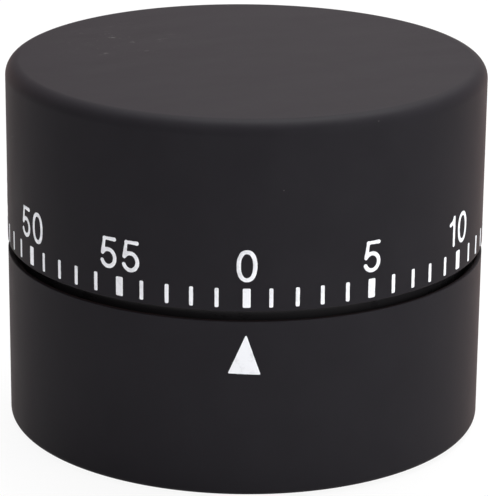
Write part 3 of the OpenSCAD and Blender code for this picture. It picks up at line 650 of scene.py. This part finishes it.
def driveScrews(name, node, length, places, turns, seat, down):
    bolt = makeScrew(length)
    flip = Matrix.Rotation(math.pi, 4, "X") if down else Matrix.Identity(4)
    group = []
    for (x, y), turn in zip(places, turns):
        one = turned(bolt, math.radians(turn))
        one.data.transform(Matrix.Translation((x, y, seat)) @ flip)
        group.append(one)
    bpy.data.objects.remove(bolt)
    row = joinAll(group, name)
    finishMesh(row)
    hang(row, "base", "screw_steel", node)
    print(name, "done,", len(row.data.polygons), "faces")


driveScrews("caseScrews", "case_screws", screw["caseLong"], screwPlaces(), screw["caseTurns"],
            base["bottom"] + base["counterDeep"], True)
driveScrews("movementScrews", "movement_screws", screw["movementLong"], pillarPlaces(),
            screw["movementTurns"], carrier["top"], False)
driveScrews("plateScrews", "plate_screws", screw["plateLong"], pillarPlaces(), screw["plateTurns"],
            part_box("plate_screws")[0][2] + screw["headHigh"], True)


# printed marks

inkPrint = {"radius": 32.5 * mm, "thick": 0.035 * mm, "waver": 0.022 * mm, "waverFine": 2400,
            "waverStep": 0.01, "waverSeed": 1, "minuteTurn": 6, "tickCuts": 9, "tickZ": 26.3 * mm,
            "tickHigh": 2.55 * mm, "tickWide": 0.51 * mm, "fiveWide": 1 * mm, "tickCorner": 0.15 * mm,
            "digitZ": 29.69 * mm, "voxel": 0.085 * mm,
            # the numerals are drawn in millimetres
            "digitHigh": 4.3, "digitWide": 2.46, "zeroWide": 2.66, "zeroSquare": 2.25, "stroke": 0.57,
            "space": 0.72,
            # how far the print has wandered to the right at a minute, in millimetres
            "wander": {0: 0.29, 3: -0.12, 4: -0.08, 8: -0.14, 9: -0.18, 10: -0.2, 50: 0.22, 52: 0.15,
                       55: 0.31, 56: 0.11, 57: 0.18, 59: -0.12}}
# without a seed the noise starts from the clock, and the print differs from run to run
noise.seed_set(inkPrint["waverSeed"])


def wrapOn(piece, angle, z):
    # flat artwork in x and y, with its thickness along z, goes on the wall at this angle
    turn = math.radians(angle - 90)
    for v in piece.data.vertices:
        spot = Vector((v.co.x, v.co.y, angle * inkPrint["waverStep"])) * inkPrint["waverFine"]
        waver = noise.noise_vector(spot) * inkPrint["waver"]
        a = turn + (v.co.x + waver.x) / inkPrint["radius"]
        r = inkPrint["radius"] + v.co.z
        v.co = (r * math.cos(a), r * math.sin(a), z + v.co.y + waver.y)
    piece.data.update()


def arc(x, y, wide, high, start, end, steps=24):
    angles = [math.radians(start + (end - start) * n / steps) for n in range(steps + 1)]
    return [(x + wide * math.cos(a), y + high * math.sin(a)) for a in angles]


def oval(wide, high, power, steps=64):
    # a squarish oval, closed
    points = []
    for n in range(steps):
        a = math.tau * n / steps
        c, s = math.cos(a), math.sin(a)
        points.append((wide * math.copysign(abs(c) ** (2 / power), c),
                       high * math.copysign(abs(s) ** (2 / power), s)))
    return points


def digitLines(digit):
    # centre lines of a numeral's strokes, in millimetres, standing on y = 0
    h, w, e = inkPrint["digitHigh"], inkPrint["digitWide"], inkPrint["stroke"] / 2
    if digit == "0":
        wide = inkPrint["zeroWide"]
        ring = oval(wide / 2 - e, h / 2 - e, inkPrint["zeroSquare"])
        return wide, [[(x + wide / 2, y + h / 2) for x, y in ring]]
    if digit == "1":
        return 1.55, [[(1.21, e), (1.21, h - e)], [(1.21, h - e), (1.02, 3.62), (0.74, 3.36), (e, 3.2)]]
    if digit == "2":
        neck = [(1.50, 1.76), (0.92, 1.20), (0.54, 0.76), (0.38, e)]
        return w, [arc(1.22, 2.98, 0.88, 1.03, 168, -38) + neck, [(0.38, e), (w - e, e)]]
    if digit == "3":
        return w, [arc(1.20, 3.13, 0.80, h - e - 3.13, 164, -90) + [(0.95, 2.25)],
                   [(0.95, 2.25)] + arc(1.20, 1.30, 0.92, 0.95, 90, -158)]
    if digit == "4":
        return 2.56, [[(1.66, e), (1.66, h - e), (e, 1.34), (2.56 - e, 1.34)]]
    return 2.6, [[(2.22, h - e), (0.68, h - e), (0.38, 2.06)],
                 [(0.38, 2.06)] + arc(1.25, 1.44, 1.02, 1.14, 141, -157)]


def drawDigit(digit):
    wide, lines = digitLines(digit)
    curve = bpy.data.curves.new("digit", "CURVE")
    curve.dimensions = "3D"
    curve.bevel_depth = inkPrint["stroke"] / 2 * mm
    curve.bevel_resolution = 3
    curve.use_fill_caps = True
    for line in lines:
        spline = curve.splines.new("POLY")
        spline.points.add(len(line) - 1)
        spline.use_cyclic_u = digit == "0"
        for point, (x, y) in zip(spline.points, line):
            point.co = (x * mm, y * mm, 0, 1)
    shape = bpy.data.objects.new("digit", curve)
    bpy.context.scene.collection.objects.link(shape)
    pickUp(shape)
    bpy.ops.object.convert(target="MESH")
    shape = bpy.context.view_layer.objects.active
    # balls round off the ends, and the corners of the straight strokes
    balls = []
    for line in lines if digit != "0" else []:
        for x, y in line if len(line) < 5 else (line[0], line[-1]):
            putDown()
            bpy.ops.mesh.primitive_uv_sphere_add(segments=16, ring_count=12,
                                                 radius=inkPrint["stroke"] / 2 * mm,
                                                 location=(x * mm, y * mm, 0))
            balls.append(settle("ball"))
    shape = joinAll([shape] + balls, "digit" + digit)
    useModifier(shape, "REMESH", mode="VOXEL", voxel_size=inkPrint["voxel"])
    # pressed flat, as printed
    for v in shape.data.vertices:
        v.co.z *= 2 * inkPrint["thick"] / (inkPrint["stroke"] * mm)
    return shape, wide


def buildScale():
    drawn = {digit: drawDigit(digit) for digit in "012345"}
    numerals = []
    for minute in range(0, 60, 5):
        text = str(minute)
        total = sum(drawn[d][1] for d in text) + inkPrint["space"] * (len(text) - 1)
        start = -total / 2
        for d in text:
            shape, wide = drawn[d]
            one = copyOf(shape)
            one.data.transform(Matrix.Translation(((start + inkPrint["wander"].get(minute, 0)) * mm, 0, 0)))
            wrapOn(one, inkPrint["minuteTurn"] * minute, inkPrint["digitZ"])
            numerals.append(one)
            start += wide + inkPrint["space"]
    for shape, wide in drawn.values():
        bpy.data.objects.remove(shape)
    numbers = joinAll(numerals, "scaleNumbers")
    pickUp(numbers)
    bpy.ops.object.shade_smooth()
    hang(numbers, "dial", "white_ink", "scale_marks")
    ticks = []
    for minute in range(60):
        wide = inkPrint["fiveWide"] if minute % 5 == 0 else inkPrint["tickWide"]
        putDown()
        middle = (inkPrint["wander"].get(minute, 0) * mm, inkPrint["tickHigh"] / 2, 0)
        bpy.ops.mesh.primitive_cube_add(size=1, location=middle,
                                        scale=(wide, inkPrint["tickHigh"], 2 * inkPrint["thick"]))
        tick = settle("tick")
        roundOff(tick, lambda e: abs(e.verts[0].co.z - e.verts[1].co.z) > inkPrint["thick"],
                 inkPrint["tickCorner"], 3)
        pick(tick, "EDGE", lambda e: abs(e.verts[0].co.y - e.verts[1].co.y) > mm)
        bpy.ops.mesh.subdivide(number_cuts=inkPrint["tickCuts"])
        putDown()
        wrapOn(tick, inkPrint["minuteTurn"] * minute, inkPrint["tickZ"])
        ticks.append(tick)
    marks = joinAll(ticks, "scaleTicks")
    finishMesh(marks, 50)
    hang(marks, "dial", "white_ink")
    print("scale done,", len(numbers.data.polygons), "and", len(marks.data.polygons), "faces")


buildScale()


# pointer

pointer = {"tip": 22.7 * mm, "high": 5.38 * mm, "wide": 4.19 * mm, "corner": 0.16 * mm, "blunt": 0.36 * mm,
           "lean": 2.2, "shift": 0.13 * mm, "rows": 12, "columns": 10}


def buildPointer():
    putDown()
    wide, high = pointer["wide"], pointer["high"]
    bpy.ops.mesh.primitive_circle_add(vertices=3, radius=wide, fill_type="NGON")
    arrow = settle("pointerTriangle")
    for v, (x, y) in zip(sorted(arrow.data.vertices, key=lambda v: -v.co.y),
                         ((0, high), (wide / 2, 0), (-wide / 2, 0))):
        v.co = (x, y, -inkPrint["thick"])
    pick(arrow, "VERT", lambda v: True)
    bpy.ops.mesh.normals_make_consistent(inside=False)
    for corner, test in ((pointer["blunt"], lambda v: v.co.y > high - hair),
                         (pointer["corner"], lambda v: v.co.y < hair)):
        pick(arrow, "VERT", test)
        bpy.ops.mesh.bevel(offset=corner, segments=4, affect="VERTICES")
    bpy.ops.mesh.select_all(action="SELECT")
    pull(2 * inkPrint["thick"])
    # cuts across and along, so that it can bend round the wall
    rows, columns = pointer["rows"], pointer["columns"]
    cuts = [((0, high * n / rows, 0), (0, 1, 0)) for n in range(1, rows)]
    cuts += [((wide * n / columns, 0, 0), (1, 0, 0)) for n in range(1 - columns // 2, columns // 2)]
    for place, across in cuts:
        bpy.ops.mesh.select_all(action="SELECT")
        bpy.ops.mesh.bisect(plane_co=place, plane_no=across)
    bpy.ops.mesh.select_all(action="SELECT")
    bpy.ops.mesh.normals_make_consistent(inside=False)
    putDown()
    # it was printed a little crooked
    middle = Matrix.Translation((0, high / 3, 0))
    lean = Matrix.Rotation(-math.radians(pointer["lean"]), 4, "Z")
    arrow.data.transform(Matrix.Translation((pointer["shift"], 0, 0)) @ middle @ lean @ middle.inverted())
    wrapOn(arrow, 0, pointer["tip"] - high)
    finishMesh(arrow, 50)
    hang(arrow, "base", "white_ink", "pointer_mark")
    print("pointer done,", len(arrow.data.polygons), "faces")


buildPointer()


# movement: copies of the solids with broken edges

broken = {"wide": 0.05 * mm, "fine": 0.03 * mm, "steps": 2, "merge": 0.001 * mm, "flatAngle": 0.5,
          # how upright the normals of standing and flat faces are
          "standing": 0.1, "flat": 0.99,
          "fineNodes": ("escape_arbor", "striker_arbor", "third_arbor"),
          # too thin at their teeth and eyes for a rounded rim
          "sharpNodes": ("balance_wheel", "hammer_arm", "hammer_yoke", "pallet_yoke", "release_lever",
                         "stop_arm", "third_wheel")}


def isRim(edge):
    # where a flat face meets a standing one
    if len(edge.link_faces) != 2 or not edge.is_convex:
        return False
    low, high = sorted(abs(face.normal.z) for face in edge.link_faces)
    return low < broken["standing"] and high > broken["flat"]


def breakEdges(row):
    name = row["node"]
    title = "eased" + "".join(word.title() for word in name.split("_"))
    piece = bpy.data.objects.new(title, frame["nodes"][name].data.copy())
    piece.data.name = title
    bpy.context.scene.collection.objects.link(piece)
    pick(piece, "VERT", lambda v: True)
    bpy.ops.mesh.customdata_custom_splitnormals_clear()
    bpy.ops.mesh.remove_doubles(threshold=broken["merge"])
    if name not in broken["sharpNodes"]:
        bpy.ops.mesh.dissolve_limited(angle_limit=math.radians(broken["flatAngle"]))
        roundOff(piece, isRim, broken["fine" if name in broken["fineNodes"] else "wide"], broken["steps"])
    finishMesh(piece)
    hang(piece, frame["nodes"][name]["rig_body"], row["material_slot"], name)


for row in frame["record"]["subparts"]:
    if not frame["nodes"][row["node"]].hide_render:
        breakEdges(row)
print("movement dressed")


# studio

studio = {"floor": (0.86, 0.86, 0.86), "floorSize": 6, "white": 0.92, "tint": (1.0, 0.95, 0.975),
          "world": 0.39,
          # the backdrop fades to the ceiling between these heights on the sphere of directions
          "backdropEnd": (0.08, 0.16), "ceiling": 0.3,
          # each lamp's place and width in millimetres, and its watts
          "lamps": {"side": ((258, -262, 125), 240, 0.57), "over": ((75, 112, 450), 400, 4.1),
                    "back": ((60, 420, 240), 300, 0.1)}, "lampAim": (0, 0, 25)}


def layFloor():
    putDown()
    bpy.ops.mesh.primitive_plane_add(size=studio["floorSize"], location=(0, 0, -hair))
    floor = settle("floor")
    look = Finish(bpy.data.materials.new("paleFloor"))
    paper = look.node("ShaderNodeBsdfDiffuse", None, {"Color": studio["floor"]})
    glow = look.node("ShaderNodeEmission", None, {"Color": (1, 1, 1), "Strength": 1.0})
    mixed = look.node("ShaderNodeMixShader", None, {0: look.seen() * studio["white"], 1: paper, 2: glow})
    look.node("ShaderNodeOutputMaterial", None, {"Surface": mixed})
    floor.data.materials.append(look.owner)


def hangSky():
    scene = bpy.context.scene
    scene.view_settings.view_transform = "Standard"
    scene.world = bpy.data.worlds.new("studio")
    sky = Finish(scene.world)
    low = sky.node("ShaderNodeBackground", None, {"Color": studio["tint"], "Strength": studio["world"]})
    # the white backdrop ends a little above the horizon, under a dimmer ceiling
    direction = sky.node("ShaderNodeTexCoord", out="Generated")
    up = sky.node("ShaderNodeSeparateXYZ", None, {"Vector": direction}, "Z")
    fade = sky.between(up, *studio["backdropEnd"], 1, studio["ceiling"])
    high = sky.node("ShaderNodeBackground", None, {"Color": (1, 1, 1), "Strength": fade})
    both = sky.node("ShaderNodeMixShader", None, {0: sky.seen(), 1: low, 2: high})
    sky.node("ShaderNodeOutputWorld", None, {"Surface": both})


def hangLamps():
    for name, (place, size, power) in studio["lamps"].items():
        lamp = bpy.data.lights.new(name, "AREA")
        lamp.shape = "DISK"
        lamp.size = size * mm
        lamp.energy = power
        holder = bpy.data.objects.new(name, lamp)
        bpy.context.scene.collection.objects.link(holder)
        spot = Vector(place) * mm
        holder.location = spot
        holder.rotation_euler = (Vector(studio["lampAim"]) * mm - spot).to_track_quat("-Z", "Y").to_euler()


# in millimetres, with the roll in degrees
viewpoint = {"eye": (0, -362.47, 143.9), "aim": (-0.12, 0, 23.46), "roll": 0.52, "lens": 201, "sensor": 36,
             "nearest": 10}


def setCamera():
    lens = bpy.data.cameras.new("camera")
    lens.lens = viewpoint["lens"]
    lens.sensor_width = viewpoint["sensor"]
    lens.clip_start = viewpoint["nearest"] * mm
    camera = bpy.data.objects.new("camera", lens)
    bpy.context.scene.collection.objects.link(camera)
    eye, aim = Vector(viewpoint["eye"]) * mm, Vector(viewpoint["aim"]) * mm
    ahead = (aim - eye).normalized()
    right = ahead.cross(Vector((0, 0, 1))).normalized()
    up = right.cross(ahead)
    roll = math.radians(viewpoint["roll"])
    right, up = right * math.cos(roll) + up * math.sin(roll), up * math.cos(roll) - right * math.sin(roll)
    camera.matrix_world = Matrix.Translation(eye) @ Matrix((right, up, -ahead)).transposed().to_4x4()
    bpy.context.scene.camera = camera


layFloor()
hangSky()
hangLamps()
setCamera()
print("studio set")
